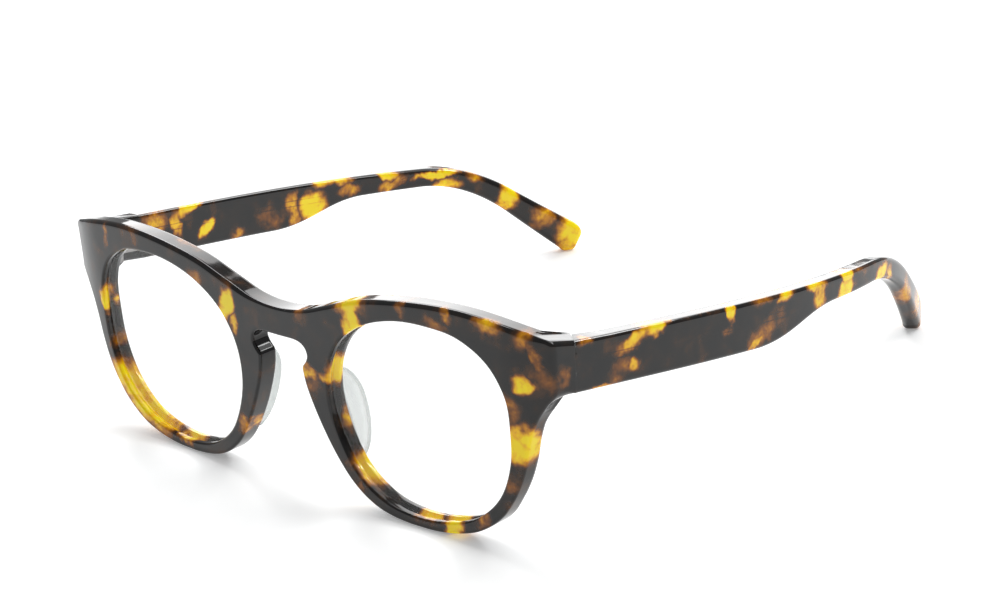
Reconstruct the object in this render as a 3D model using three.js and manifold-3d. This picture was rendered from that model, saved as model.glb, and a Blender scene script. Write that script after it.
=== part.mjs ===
// Folding acetate spectacles, opened out and resting on the rim bottoms and the temple tips.
// Millimetres, +Z up. X runs across the face (the wearer's left is +X), the front looks
// towards -Y and the temples run back towards +Y. The exported group has its origin on the
// resting surface, in the middle of the object's box.

import * as THREE from 'three';
import { TessellateModifier } from 'three/addons/modifiers/TessellateModifier.js';
import { mergeVertices } from 'three/addons/utils/BufferGeometryUtils.js';
import Module from 'manifold-3d';

const wasm = await Module();
wasm.setup();

// ---------------------------------------------------------------- driving dimensions

const FIT_GAP = 0.3;              // air between neighbouring pieces
const FACET_LENGTH = 9;           // longest facet edge of a piece that is bent
const SLIVER = 0.01;              // detail finer than this is dropped from the meshes

// front
const DATUM_HEIGHT = 22.7;        // height of the lens centre line above the resting surface
const FRONT_THICKNESS = 4.5;
const EDGE_ROUND = 0.8;           // rounding that polishing leaves on every acetate edge
const FACE_FORM_RADIUS = 1219;    // gentle sweep of the front across the face
const FACE_FORM_QUARTIC = 7.2e-8; // extra sweep outwards
const END_SWEEP_START = 60;       // beyond this the end pieces turn back more
const END_SWEEP = 0.014;
const BROW = [
  [0, 16.2], [7.5, 16.6], [15, 18.8], [25, 22.2], [38, 24.5], [50, 25.2], [61, 24.1], [69.6, 22],
];
const END_PIECE = [[71.3, 20.4], [71, 11], [69.2, 8.7]];
const OUTER_SWEEP = [
  [69.2, 8.7], [66.9, 5.2], [65.3, 1], [64.2, -3.4], [62.5, -8], [60, -12.4], [56.4, -16.6],
  [51.2, -20], [45.6, -21.8], [41, -22.5], [38, -22.7],
];
const NASAL_SWEEP = [
  [33, -22.7], [28.5, -22.3], [24.5, -21.4], [20.8, -19.7], [17.4, -17.1], [14.7, -14],
  [12.3, -10.5], [10, -6.4], [7.9, -1.8], [6.8, 1.4], [6.3, 4.4],
];
const KEYHOLE = [
  [6.3, 4.4], [6.5, 5.1], [7.5, 6.2], [8.1, 7.5], [7.7, 8.9], [6.5, 9.8], [4.5, 10.2], [0, 10.2],
];

// eye openings and lenses
const EYE_CENTRE = 37.5;
const EYE = [
  [61, 2], [60.5, 9], [57, 15], [50.5, 18.9], [43, 20], [34, 19.6], [25, 17], [18, 12.3], [14.2, 6],
  [13.4, -1], [15.2, -8], [19.4, -14.8], [26, -19.1], [34, -20.6], [42.5, -20], [50.5, -17.5],
  [57, -11.9], [60.3, -4.6],
];
const LENS_THICKNESS = 1.8;
const LENS_DOME = 1;              // how far the lens centre bulges forwards
const LENS_BEVEL = 0.55;          // how far the bevelled edge reaches into the groove
const LENS_DEPTH = 2.25;          // groove centre behind the front surface

// nose pads
const PAD_LENGTH = 19.5;
const PAD_DEPTH = 5.5;
const PAD_PEAK = 7.8;             // distance from the top at which the pad is deepest
const PAD_SINK = 0.3;             // its outline starts this far inside the rim and is trimmed
const PAD_THICKNESS = 2.5;
const PAD_ROUND = 0.8;
const PAD_TOP = [9.2, 4.2];       // where the pad starts on the back of the nasal rim
const PAD_SPLAY = 16.5;           // degrees, lower end outwards
const PAD_FLARE = 3;              // degrees, rear edge outwards

// temples
const TEMPLE_OUTER = 71.5;        // outer face at the joint, from the middle
const TEMPLE_THICKNESS = 4.1;
const TEMPLE_SPLAY = 0.07;        // slope of the straight part, in plan
const TEMPLE_CURVE_START = 27;
const TEMPLE_CURVE = [3.3e-4, 1.6e-5]; // inward curve behind that, square and cube terms
const TEMPLE_SLOPE = 0.146;       // fall of the top edge per unit of length
const JOINT_DEPTH = 10.9;         // joint plane behind the front surface
const JOINT_TILT = 4;             // degrees, top of the joint plane leans back
const TEMPLE_TOP = 42.3;          // at the joint
const TEMPLE_HEIGHT = 10.1;       // at the joint

// core wire
const WIRE_RADIUS = 0.65;
const WIRE_BELOW_TOP = [4.2, 2.4]; // near the hinge, and where the temple gets narrow
const WIRE_END = 128;

// hinge
const AXIS_X = 65.5;
const AXIS_Z = TEMPLE_TOP - TEMPLE_HEIGHT / 2;
const KNUCKLE_RADIUS = 1.6;
const KNUCKLE_HEIGHT = 1.05;
const KNUCKLE_PITCH = 1.3;
const SCREW_RADIUS = 0.65;
const LEAF_THICKNESS = 0.8;
const LEAF_HEIGHT = 5;
const FRONT_LEAF_LENGTH = 3.8;     // stays clear of the eye opening
const LEAF_LENGTH = 6;
const ANCHOR_RADIUS = 0.6;
const ANCHOR_LENGTH = 1.3;
const ANCHOR_DROP = 1;
const LEAF_START = JOINT_DEPTH + KNUCKLE_RADIUS + FIT_GAP;

// materials: colour, roughness, metalness
const ACETATE = [0x2a1c12, 0.12, 0];
const CLEAR_ACETATE = [0xe9e6dd, 0.18, 0];
const LENS_PLASTIC = [0xf4f7f7, 0.03, 0];
const HINGE_METAL = [0xb9babb, 0.3, 1];
const WIRE_METAL = [0xa9aaa8, 0.35, 1];

// ---------------------------------------------------------------- geometry helpers

const radians = THREE.MathUtils.degToRad;

function vectors(pairs) {
  return pairs.map(([a, b]) => new THREE.Vector2(a, b));
}

function toManifold(geometry) {
  const bare = geometry.clone();
  bare.deleteAttribute('normal');
  bare.deleteAttribute('uv');
  const merged = mergeVertices(bare, 1e-4);
  const corners = [];
  for (let i = 0; i < merged.index.count; i += 3) {
    const [a, b, c] = merged.index.array.slice(i, i + 3);
    if (a !== b && b !== c && c !== a) {
      corners.push(a, b, c);
    }
  }
  return new wasm.Manifold(new wasm.Mesh({
    numProp: 3,
    vertProperties: new Float32Array(merged.attributes.position.array),
    triVerts: new Uint32Array(corners),
  }));
}

function toGeometry(manifold) {
  const mesh = manifold.simplify(SLIVER).getMesh();
  const geometry = new THREE.BufferGeometry();
  geometry.setAttribute('position', new THREE.BufferAttribute(new Float32Array(mesh.vertProperties), 3));
  geometry.setIndex(new THREE.BufferAttribute(new Uint32Array(mesh.triVerts), 1));
  return geometry;
}

// Splits long facets, so that flat ones can follow a bend.
function refined(geometry) {
  return new TessellateModifier(FACET_LENGTH, 12).modify(geometry);
}

// Moves every vertex with place(point), which changes the point it is given.
function reshape(geometry, place) {
  const position = geometry.attributes.position;
  const point = new THREE.Vector3();
  for (let i = 0; i < position.count; i++) {
    point.fromBufferAttribute(position, i);
    place(point);
    position.setXYZ(i, point.x, point.y, point.z);
  }
  return geometry;
}

function boxBetween(low, high) {
  const size = high.map((value, axis) => value - low[axis]);
  const middle = high.map((value, axis) => (value + low[axis]) / 2);
  return new THREE.BoxGeometry(...size).translate(...middle);
}

// A cylinder from one point to another.
function rod(from, to, radius, sides) {
  const start = new THREE.Vector3(...from);
  const way = new THREE.Vector3(...to).sub(start);
  const turn = new THREE.Quaternion().setFromUnitVectors(new THREE.Vector3(0, 1, 0), way.clone().normalize());
  const geometry = new THREE.CylinderGeometry(radius, radius, way.length(), sides);
  return geometry.applyQuaternion(turn).translate(...start.addScaledVector(way, 0.5).toArray());
}

// Stands a geometry drawn in X and Y, and extruded along Z, upright: X, Z and depth along Y.
function standUp(geometry) {
  return reshape(geometry, (point) => point.set(point.x, -point.z, point.y));
}

// The other side's copy of a piece drawn for the wearer's left.
function mirrored(geometry) {
  const copy = geometry.clone();
  copy.scale(-1, 1, 1);
  const index = copy.index.array;
  for (let i = 0; i < index.length; i += 3) {
    [index[i], index[i + 1]] = [index[i + 1], index[i]];
  }
  return copy;
}

// ---------------------------------------------------------------- front

// How far the front surface lies behind its middle, at a distance from the middle.
function faceForm(x) {
  const past = Math.max(0, Math.abs(x) - END_SWEEP_START);
  return x * x / (2 * FACE_FORM_RADIUS) + FACE_FORM_QUARTIC * x ** 4 + END_SWEEP * past ** 2;
}

function wrapToFace(point) {
  point.y += faceForm(point.x);
  point.z += DATUM_HEIGHT;
}

function halfOutline() {
  const brow = new THREE.SplineCurve(vectors(BROW)).getPoints(21);
  const [corner, edge, sweep] = vectors(END_PIECE);
  const browEnd = brow[brow.length - 1];
  const upper = new THREE.QuadraticBezierCurve(browEnd, new THREE.Vector2(71.3, 21.5), corner).getPoints(2);
  const lower = new THREE.QuadraticBezierCurve(edge, new THREE.Vector2(70.7, 10.1), sweep).getPoints(2);
  const outer = new THREE.SplineCurve(vectors(OUTER_SWEEP)).getPoints(18);
  const nasal = new THREE.SplineCurve(vectors(NASAL_SWEEP)).getPoints(16);
  const keyhole = new THREE.SplineCurve(vectors(KEYHOLE)).getPoints(12);
  return [...brow, ...upper.slice(1), ...lower, ...outer.slice(1), ...nasal, ...keyhole.slice(1)];
}

function eyeOutline(grow = 0) {
  const knots = EYE.map(([x, z]) => new THREE.Vector3(x, z, 0));
  const points = new THREE.CatmullRomCurve3(knots, true).getPoints(40).slice(0, -1);
  return points.map((point, i) => {
    const along = points[(i + 1) % points.length].clone().sub(points.at(i - 1)).normalize();
    return new THREE.Vector2(point.x + along.y * grow, point.y - along.x * grow);
  });
}

// A disc with the eye opening's outline. The edge profile holds [growth, depth] pairs, where
// growth is the distance outside the opening, and the two faces close it with domed rings.
function eyeDisc(profile, dome) {
  const rings = [0, 0.35, 0.65, 0.85];
  const faceRings = (depth) => rings.map((share) => new THREE.Vector2(share, depth));
  const edgeRadius = (i) => 1 + i / 100;
  const section = [
    ...faceRings(profile[0][1]),
    ...profile.map(([, depth], i) => new THREE.Vector2(edgeRadius(i), depth)),
    ...faceRings(profile.at(-1)[1]).reverse(),
  ];
  const outlines = profile.map(([growth]) => eyeOutline(growth));
  const sides = outlines[0].length;
  return reshape(new THREE.LatheGeometry(section.reverse(), sides), (point) => {
    const radius = Math.hypot(point.x, point.z);
    const side = Math.round((Math.atan2(point.x, point.z) / (2 * Math.PI) + 1) * sides) % sides;
    const share = Math.min(1, radius);
    const rim = outlines[Math.max(0, Math.round((radius - 1) * 100))][side];
    const x = EYE_CENTRE + (rim.x - EYE_CENTRE) * share;
    point.set(x, LENS_DEPTH + point.y - dome * (1 - share * share), rim.y * share);
  });
}

function lensGeometry() {
  const half = LENS_THICKNESS / 2;
  const lens = eyeDisc([[-FIT_GAP, -half], [LENS_BEVEL, 0], [-FIT_GAP, half]], LENS_DOME);
  return toGeometry(toManifold(reshape(lens, wrapToFace)));
}

function grooveCutter() {
  const mouth = LENS_THICKNESS / 2 + 2 * FIT_GAP;
  const root = LENS_BEVEL + FIT_GAP;
  const cutter = eyeDisc([[-FIT_GAP, -mouth], [root, -0.2], [root, 0.2], [-FIT_GAP, mouth]], 0);
  return reshape(cutter, wrapToFace);
}

// The block behind each end piece that the temple's square end closes against.
function endBlock() {
  const inner = TEMPLE_OUTER - TEMPLE_THICKNESS;
  const depths = [7.5, JOINT_DEPTH - FIT_GAP / 2];
  const block = boxBetween([inner, depths[0], AXIS_Z - 5.4], [TEMPLE_OUTER, depths[1], AXIS_Z + 6.2]);
  return reshape(block, (point) => {
    if (point.y < depths[1] - 0.1) {
      return;
    }
    point.z = AXIS_Z + Math.sign(point.z - AXIS_Z) * TEMPLE_HEIGHT / 2;
    point.y += (point.z - AXIS_Z) * Math.tan(radians(JOINT_TILT));
  });
}

function frontGeometry() {
  const half = halfOutline();
  const other = half.slice(1, -1).reverse().map((point) => new THREE.Vector2(-point.x, point.y));
  const shape = new THREE.Shape([...half, ...other]);
  const eye = eyeOutline();
  shape.holes.push(new THREE.Path(eye));
  shape.holes.push(new THREE.Path(eye.map((point) => new THREE.Vector2(-point.x, point.y)).reverse()));
  const plate = new THREE.ExtrudeGeometry(shape, {
    depth: FRONT_THICKNESS - 2 * EDGE_ROUND,
    bevelThickness: EDGE_ROUND,
    bevelSize: EDGE_ROUND,
    bevelOffset: -EDGE_ROUND,
    bevelSegments: 2,
  });
  standUp(plate.translate(0, 0, EDGE_ROUND - FRONT_THICKNESS));
  const groove = grooveCutter();
  const block = endBlock();
  const front = toManifold(reshape(refined(plate), wrapToFace))
    .add(toManifold(block))
    .add(toManifold(mirrored(block)))
    .subtract(toManifold(groove))
    .subtract(toManifold(mirrored(toGeometry(toManifold(groove)))));
  return toGeometry(front);
}

// ---------------------------------------------------------------- nose pads

function padGeometry() {
  const side = new THREE.Shape();
  side.moveTo(0, 0);
  side.bezierCurveTo(0.6, PAD_DEPTH * 0.72, PAD_PEAK * 0.6, PAD_DEPTH, PAD_PEAK, PAD_DEPTH);
  side.bezierCurveTo(PAD_LENGTH * 0.76, PAD_DEPTH, PAD_LENGTH, PAD_DEPTH * 0.5, PAD_LENGTH, 0);
  side.closePath();
  const pad = new THREE.ExtrudeGeometry(side, {
    depth: PAD_THICKNESS - 2 * PAD_ROUND,
    bevelThickness: PAD_ROUND,
    bevelSize: PAD_ROUND,
    bevelOffset: -PAD_ROUND,
    bevelSegments: 2,
    curveSegments: 8,
  });
  const splay = radians(PAD_SPLAY);
  const along = new THREE.Vector3(Math.sin(splay), 0, -Math.cos(splay));
  const back = new THREE.Vector3(0, 1, 0);
  const across = new THREE.Vector3().crossVectors(along, back);
  const flare = radians(PAD_FLARE);
  back.multiplyScalar(Math.cos(flare)).addScaledVector(across, Math.sin(flare));
  across.crossVectors(along, back);
  const place = new THREE.Matrix4().makeBasis(along, back, across);
  const [x, z] = PAD_TOP;
  place.setPosition(x, faceForm(x) + FRONT_THICKNESS - PAD_SINK, z + DATUM_HEIGHT);
  const glued = faceForm(x + PAD_LENGTH * Math.sin(splay)) + FRONT_THICKNESS + FIT_GAP;
  const solid = toManifold(pad.translate(0, 0, PAD_ROUND).applyMatrix4(place));
  return toGeometry(solid.trimByPlane([0, 1, 0], glued));
}

// ---------------------------------------------------------------- temples

// Height of the temple's top edge on its straight part.
function topLine(y) {
  return TEMPLE_TOP - TEMPLE_SLOPE * (y - JOINT_DEPTH);
}

// The temple's side outline, y backwards and z up.
function templeOutline() {
  const start = JOINT_DEPTH + FIT_GAP / 2;
  const bottom = (y) => topLine(y) - TEMPLE_HEIGHT;
  const side = new THREE.Shape();
  side.moveTo(start, topLine(start));
  side.lineTo(103, topLine(103));
  side.quadraticCurveTo(115.5, topLine(115.5), 125, 19.2);
  side.lineTo(139.2, 7.4);
  side.quadraticCurveTo(141.9, 5.2, 141, 3.4);
  side.lineTo(139.7, 0.9);
  side.quadraticCurveTo(139.2, 0, 138.5, 0);
  side.lineTo(137.1, 0);
  side.quadraticCurveTo(136.5, 0, 135.8, 1.2);
  side.lineTo(124, 13.3);
  side.quadraticCurveTo(114.5, 22.6, 103, 24.3);
  side.lineTo(86, 26.4);
  side.bezierCurveTo(76, 27.5, 71, 23.9, 60, bottom(60));
  side.lineTo(start, bottom(start));
  side.closePath();
  return side;
}

// Adds points to long straight stretches, so that the outline can bend.
function subdivided(points, step) {
  const result = [];
  points.forEach((point, i) => {
    const next = points[(i + 1) % points.length];
    const pieces = Math.max(1, Math.round(point.distanceTo(next) / step));
    for (let j = 0; j < pieces; j++) {
      result.push(point.clone().lerp(next, j / pieces));
    }
  });
  return result;
}

// The temple's outer face in plan, and the inward slope there.
function plan(y) {
  const past = Math.max(0, y - TEMPLE_CURVE_START);
  const [square, cube] = TEMPLE_CURVE;
  const x = TEMPLE_OUTER + TEMPLE_SPLAY * (y - JOINT_DEPTH) - square * past ** 2 - cube * past ** 3;
  const slope = TEMPLE_SPLAY - 2 * square * past - 3 * cube * past ** 2;
  return { x, slope };
}

// Temple space: x is measured from the outer face, outwards, so the temple lies between
// -TEMPLE_THICKNESS and 0; y and z are the spectacles' own. This bends it onto the plan.
function bendToPlan(point) {
  const { x, slope } = plan(point.y);
  const length = Math.hypot(1, slope);
  point.set(x + point.x / length, point.y - point.x * slope / length, point.z);
}

function wirePoint(y) {
  const below = THREE.MathUtils.lerp(...WIRE_BELOW_TOP, THREE.MathUtils.smoothstep(y, 55, 85));
  const outline = topLine(y) - below;
  const ear = 19.2 - (y - 125) * 0.83 - 3.2;
  const blend = THREE.MathUtils.smoothstep(y, 100, 128);
  const point = new THREE.Vector3(-TEMPLE_THICKNESS / 2, y, THREE.MathUtils.lerp(outline, ear, blend));
  bendToPlan(point);
  return point;
}

function wireSweep(from, to, radius) {
  const stations = [];
  for (let i = 0; i <= 16; i++) {
    stations.push(wirePoint(THREE.MathUtils.lerp(from, to, i / 16)));
  }
  const section = new THREE.Shape();
  section.absarc(0, 0, radius, 0, 2 * Math.PI);
  return new THREE.ExtrudeGeometry(section, {
    extrudePath: new THREE.CatmullRomCurve3(stations),
    steps: 30,
    curveSegments: 4,
    bevelEnabled: false,
  });
}

// A stub on the temple leaf, or its hole, in temple space: low and high are its ends.
function anchors(low, high, radius) {
  return [1.6, LEAF_LENGTH - 1.4].map((along) => {
    const y = LEAF_START + along;
    const z = AXIS_Z - TEMPLE_SLOPE * (y - JOINT_DEPTH) - ANCHOR_DROP;
    return toManifold(reshape(rod([low, y, z], [high, y, z], radius, 12), bendToPlan));
  });
}

function templeGeometry() {
  const shape = new THREE.Shape(subdivided(templeOutline().getPoints(7), 6));
  const blank = new THREE.ExtrudeGeometry(shape, {
    depth: TEMPLE_THICKNESS - 2 * EDGE_ROUND,
    bevelThickness: EDGE_ROUND,
    bevelSize: EDGE_ROUND,
    bevelOffset: -EDGE_ROUND,
    bevelSegments: 2,
  });
  // the square end stays sharp, so its rounding is pulled back flat onto the joint plane
  const start = JOINT_DEPTH + FIT_GAP / 2;
  const bent = reshape(refined(blank), (point) => {
    const atJoint = point.x < start + EDGE_ROUND + 0.01;
    const lean = atJoint ? (point.y - AXIS_Z) * Math.tan(radians(JOINT_TILT)) : 0;
    point.set(point.z + EDGE_ROUND - TEMPLE_THICKNESS, (atJoint ? start : point.x) + lean, point.y);
    bendToPlan(point);
  });
  const bore = wireSweep(JOINT_DEPTH - 1, WIRE_END + FIT_GAP, WIRE_RADIUS + FIT_GAP);
  const holes = anchors(-TEMPLE_THICKNESS - 1, -TEMPLE_THICKNESS + ANCHOR_LENGTH, ANCHOR_RADIUS + FIT_GAP);
  return toGeometry(toManifold(bent).subtract(join([toManifold(bore), ...holes])));
}

// ---------------------------------------------------------------- hinge

// Knuckles at the given places along the axis, drawn upright around the origin.
function knuckles(places) {
  return places.map((place) => {
    const middle = place * KNUCKLE_PITCH;
    const low = [0, 0, middle - KNUCKLE_HEIGHT / 2];
    const high = [0, 0, middle + KNUCKLE_HEIGHT / 2];
    return toManifold(rod(low, high, KNUCKLE_RADIUS, 20));
  });
}

function join(solids) {
  return solids.reduce((whole, solid) => whole.add(solid));
}

function pinBore() {
  return toManifold(rod([0, 0, -8], [0, 0, 8], SCREW_RADIUS + 0.25, 16));
}

// Turns a hinge piece drawn around the origin onto the leaning hinge axis.
function ontoAxis(geometry) {
  geometry.rotateX(-Math.atan(TEMPLE_SLOPE));
  return geometry.translate(AXIS_X, JOINT_DEPTH, AXIS_Z);
}

function frontLeafGeometry() {
  const near = -(KNUCKLE_RADIUS + FIT_GAP);
  const back = faceForm(AXIS_X + near) + FRONT_THICKNESS + FIT_GAP - JOINT_DEPTH;
  const low = [near - FRONT_LEAF_LENGTH, back, -LEAF_HEIGHT / 2];
  const plate = boxBetween(low, [near, back + LEAF_THICKNESS, LEAF_HEIGHT / 2]);
  reshape(plate, (point) => {
    point.y += faceForm(AXIS_X + point.x) - faceForm(AXIS_X + near) - point.z * TEMPLE_SLOPE;
  });
  const places = [-2, 0, 2];
  const webs = places.map((place) => {
    const middle = place * KNUCKLE_PITCH;
    const half = KNUCKLE_HEIGHT / 2;
    const root = back + LEAF_THICKNESS / 2 - middle * TEMPLE_SLOPE;
    return toManifold(boxBetween([near - 1, root, middle - half], [0, -0.2, middle + half]));
  });
  const leaf = join([toManifold(plate), ...webs, ...knuckles(places)]).subtract(pinBore());
  return ontoAxis(toGeometry(leaf));
}

function templeLeafGeometry() {
  const face = -TEMPLE_THICKNESS - FIT_GAP;
  const half = LEAF_HEIGHT / 2;
  const low = [face - LEAF_THICKNESS, LEAF_START, AXIS_Z - half];
  const plate = reshape(boxBetween(low, [face, LEAF_START + LEAF_LENGTH, AXIS_Z + half]), (point) => {
    point.z -= TEMPLE_SLOPE * (point.y - JOINT_DEPTH);
    bendToPlan(point);
  });
  const places = [-1, 1];
  const webs = places.map((place) => {
    const bottom = place * KNUCKLE_PITCH - KNUCKLE_HEIGHT / 2;
    const reach = LEAF_START - JOINT_DEPTH + 0.5;
    const web = boxBetween([0.3, 0.2, bottom], [KNUCKLE_RADIUS, reach, bottom + KNUCKLE_HEIGHT]);
    return toManifold(web);
  });
  const barrel = ontoAxis(toGeometry(join([...webs, ...knuckles(places)]).subtract(pinBore())));
  const depth = -TEMPLE_THICKNESS + ANCHOR_LENGTH - FIT_GAP;
  const stubs = anchors(face - LEAF_THICKNESS / 2, depth, ANCHOR_RADIUS);
  return toGeometry(join([toManifold(barrel), toManifold(plate), ...stubs]));
}

function screwGeometry() {
  const top = 2 * KNUCKLE_PITCH + KNUCKLE_HEIGHT / 2;
  const head = toManifold(rod([0, 0, top + 0.15], [0, 0, top + 0.75], 1.15, 16));
  const shank = toManifold(rod([0, 0, -top], [0, 0, top + 0.4], SCREW_RADIUS, 12));
  const slot = toManifold(boxBetween([-2, -0.18, top + 0.45], [2, 0.18, top + 1]));
  return ontoAxis(toGeometry(head.add(shank).subtract(slot)));
}

// ---------------------------------------------------------------- assembly

const spectacles = new THREE.Group();
spectacles.name = 'spectacles';

function addMesh(name, geometry, [color, roughness, metalness]) {
  const mesh = new THREE.Mesh(geometry, new THREE.MeshStandardMaterial({ color, roughness, metalness }));
  mesh.name = name;
  spectacles.add(mesh);
}

function addPair(name, geometry, finish) {
  addMesh(`${name}_left`, geometry, finish);
  addMesh(`${name}_right`, mirrored(geometry), finish);
}

addMesh('front_frame', frontGeometry(), ACETATE);
addPair('lens', lensGeometry(), LENS_PLASTIC);
addPair('nose_pad', padGeometry(), CLEAR_ACETATE);
addPair('hinge_front_leaf', frontLeafGeometry(), HINGE_METAL);
addPair('hinge_temple_leaf', templeLeafGeometry(), HINGE_METAL);
addPair('hinge_screw', screwGeometry(), HINGE_METAL);
addPair('temple', templeGeometry(), ACETATE);
addPair('core_wire', toGeometry(toManifold(wireSweep(JOINT_DEPTH + 1, WIRE_END, WIRE_RADIUS))), WIRE_METAL);

const box = new THREE.Box3().setFromObject(spectacles);
spectacles.position.y = -(box.min.y + box.max.y) / 2;

export default spectacles;
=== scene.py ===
"""Tortoiseshell acetate spectacles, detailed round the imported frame.

Outlines are in part millimetres: x across the face, y back from the middle of the front
surface, z up from the resting surface. Shell.piece() turns them into the frame's metres.
"""
import math

import bmesh
import bpy
import numpy as np
from mathutils import Matrix, Vector
from mathutils.geometry import delaunay_2d_cdt


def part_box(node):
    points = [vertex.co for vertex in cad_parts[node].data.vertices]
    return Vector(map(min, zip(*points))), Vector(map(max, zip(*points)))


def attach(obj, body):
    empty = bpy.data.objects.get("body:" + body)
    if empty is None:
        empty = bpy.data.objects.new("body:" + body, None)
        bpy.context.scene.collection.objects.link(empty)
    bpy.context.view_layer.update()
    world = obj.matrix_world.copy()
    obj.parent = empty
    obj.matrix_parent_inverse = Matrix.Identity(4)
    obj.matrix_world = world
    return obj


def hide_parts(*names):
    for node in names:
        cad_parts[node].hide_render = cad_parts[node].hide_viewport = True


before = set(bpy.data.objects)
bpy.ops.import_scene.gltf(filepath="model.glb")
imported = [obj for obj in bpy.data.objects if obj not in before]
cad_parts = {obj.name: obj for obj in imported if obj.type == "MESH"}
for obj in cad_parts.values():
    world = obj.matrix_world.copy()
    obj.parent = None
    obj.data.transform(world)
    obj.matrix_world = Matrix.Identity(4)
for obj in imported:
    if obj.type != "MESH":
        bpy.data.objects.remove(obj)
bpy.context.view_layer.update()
MM_PER_M = 1000
FRONT_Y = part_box("front_frame")[0].y * MM_PER_M  # where part y = 0 lies in the frame, in mm

# ------------------------------------------------------------------ dimensions, mm

DATUM_Z = 22.7  # the origin of the front's outlines, above the resting surface
FRONT_THICKNESS = 4.5
FORM_DIVISOR, FORM_QUARTIC = 2438, 7.2e-8  # how the front curves back from its middle
END_SWEEP, END_SWEEP_START = 0.014, 60  # the end pieces curve back a little more
BROW = [
    (0, 16.2), (7.5, 16.9), (15, 19.2), (25, 22.2), (38, 24.1), (50, 24.6), (61, 23.5),
    (69.6, 21.5),
]
END_PIECE_TOP = [(69.6, 21.5), (71.3, 21), (71.3, 19.9)]
END_PIECE_BOTTOM = [(71, 11), (70.7, 10.1), (69.2, 8.7)]
OUTER_SWEEP = [
    (69.2, 8.7), (66.9, 5.2), (65.3, 1), (64.2, -3.4), (62.5, -8), (60, -12.4), (56.4, -16.6),
    (51.2, -20), (45.6, -21.8), (41, -22.5), (38, -22.7),
]
NASAL_SWEEP = [
    (33, -22.7), (28.5, -22.3), (24.5, -21.4), (20.8, -19.7), (17.4, -17.1), (14.7, -14),
    (12.3, -10.5), (10, -6.4), (7.9, -1.8), (6.8, 1.4), (6.3, 4.4),
]
KEYHOLE = [
    (6.3, 4.4), (6.5, 5.1), (7.5, 6.2), (8.1, 7.5), (7.7, 8.9), (6.5, 9.8), (4.5, 10.2),
    (0, 10.2),
]
EYE_CENTRE = 37.5
EYE = [
    (61, 2), (60.5, 9), (57, 15), (50.5, 18.9), (43, 20), (34, 19.6), (25, 17), (18, 12.3),
    (14.2, 6), (13.4, -1), (15.2, -8), (19.4, -14.8), (26, -19.1), (34, -20.6), (42.5, -20),
    (50.5, -17.5), (57, -11.9), (60.3, -4.6),
]
EYE_STEPS = 14  # points between two of EYE's
EDGE_HOLD = 0.22  # a flat strip inside each rounded edge keeps the faces' shading flat
EYE_ROUND = 0.5  # the radius of a lens opening's edges
GROOVE_DEPTH, GROOVE_FRONT, GROOVE_BACK = 0.85, 1.15, 3.35
LENS_DEPTH = 2.25  # the middle of the lens groove
LENS_HALF, LENS_BEVEL, LENS_DOME = 0.9, 0.55, 1.0

TEMPLE_OUTER, TEMPLE_THICKNESS, TEMPLE_SPLAY, TEMPLE_SLOPE = 71.5, 4.1, 0.07, 0.146
TEMPLE_TOP, TEMPLE_HEIGHT = 42.3, 10.1
BEND_START, BEND_SQUARE, BEND_CUBE = 27, 3.3e-4, 1.6e-5  # how the temple curves inwards
BEND_SQUARE_SLOPE, BEND_CUBE_SLOPE = 6.6e-4, 4.8e-5  # and the slope that this gives
STRAIGHT_END = 103  # where the top edge starts to turn down behind the ear
TEMPLE_HOLD, TEMPLE_SIDE_HOLD = 0.25, 0.12  # flat strips on the sides, and above and below
BUTT_POINTS = 14  # up the temple's front end
WIRE_BELOW_TOP, WIRE_HALF_HEIGHT = 4.2, 0.65

JOINT_DEPTH, JOINT_TILT = 10.9, math.radians(4)
JOINT_GAP = 0.005  # on each side of the joint
JOINT_MITRE = 0.71  # the joint lies this much further back for each mm towards the inside
JOINT_FADE = 9  # how far along the temple the mitre's lean has faded out
AXIS_Z = 37.25  # the joint's height
BLOCK_INNER = 67.4  # the end pieces reach back to the joint outside this x

PAD_LENGTH, PAD_DEPTH, PAD_PEAK, PAD_THICKNESS, PAD_ROUND = 19.5, 5.5, 7.8, 2.5, 0.95
PAD_TOP, PAD_SPLAY, PAD_FLARE = (9.2, 4.2), math.radians(16.5), math.radians(3)
PAD_SINK = 0.3  # the outline starts this far inside the rim and is flattened onto its back
PAD_GLUE = 0.03  # between the rim's back and the pads' flattened faces

OUTLINE_STEP, TEMPLE_STEP, PAD_STEP = 0.5, 0.6, 0.35  # between the outlines' points
FACE_GRID, PAD_GRID = 1.6, 0.8  # between the points inside the flat faces
SLIVER = 1e-4  # twice the area in square mm below which a triangle is left out
WELD = 1e-7  # metres
QUARTER = math.pi / 2
SHARP_FRONT, SHARP_TEMPLE, SHARP_LENS, SHARP_PAD = 35, 40, 30, 40  # degrees at a sharp edge

# ------------------------------------------------------------------ curves


def smooth(low, high, value):
    """0 up to low, 1 from high, and an S curve between them."""
    t = np.clip((np.asarray(value, float) - low) / (high - low), 0, 1)
    return t * t * (3 - 2 * t)


def hermite(b, c, v, w, t):
    """The curve from b with the slope v to c with the slope w."""
    return (2 * b - 2 * c + v + w) * t**3 + (3 * c - 3 * b - 2 * v - w) * t**2 + v * t + b


def spline(points, count):
    """A uniform Catmull-Rom curve through the points, which stops at both ends."""
    p = np.array(points, float)
    at = np.linspace(0, len(p) - 1, count + 1)
    i = np.minimum(at.astype(int), len(p) - 2)
    t = (at - i)[:, None]
    a, b, c, d = p[np.maximum(i - 1, 0)], p[i], p[i + 1], p[np.minimum(i + 2, len(p) - 1)]
    return hermite(b, c, (c - a) / 2, (d - b) / 2, t)


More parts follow.
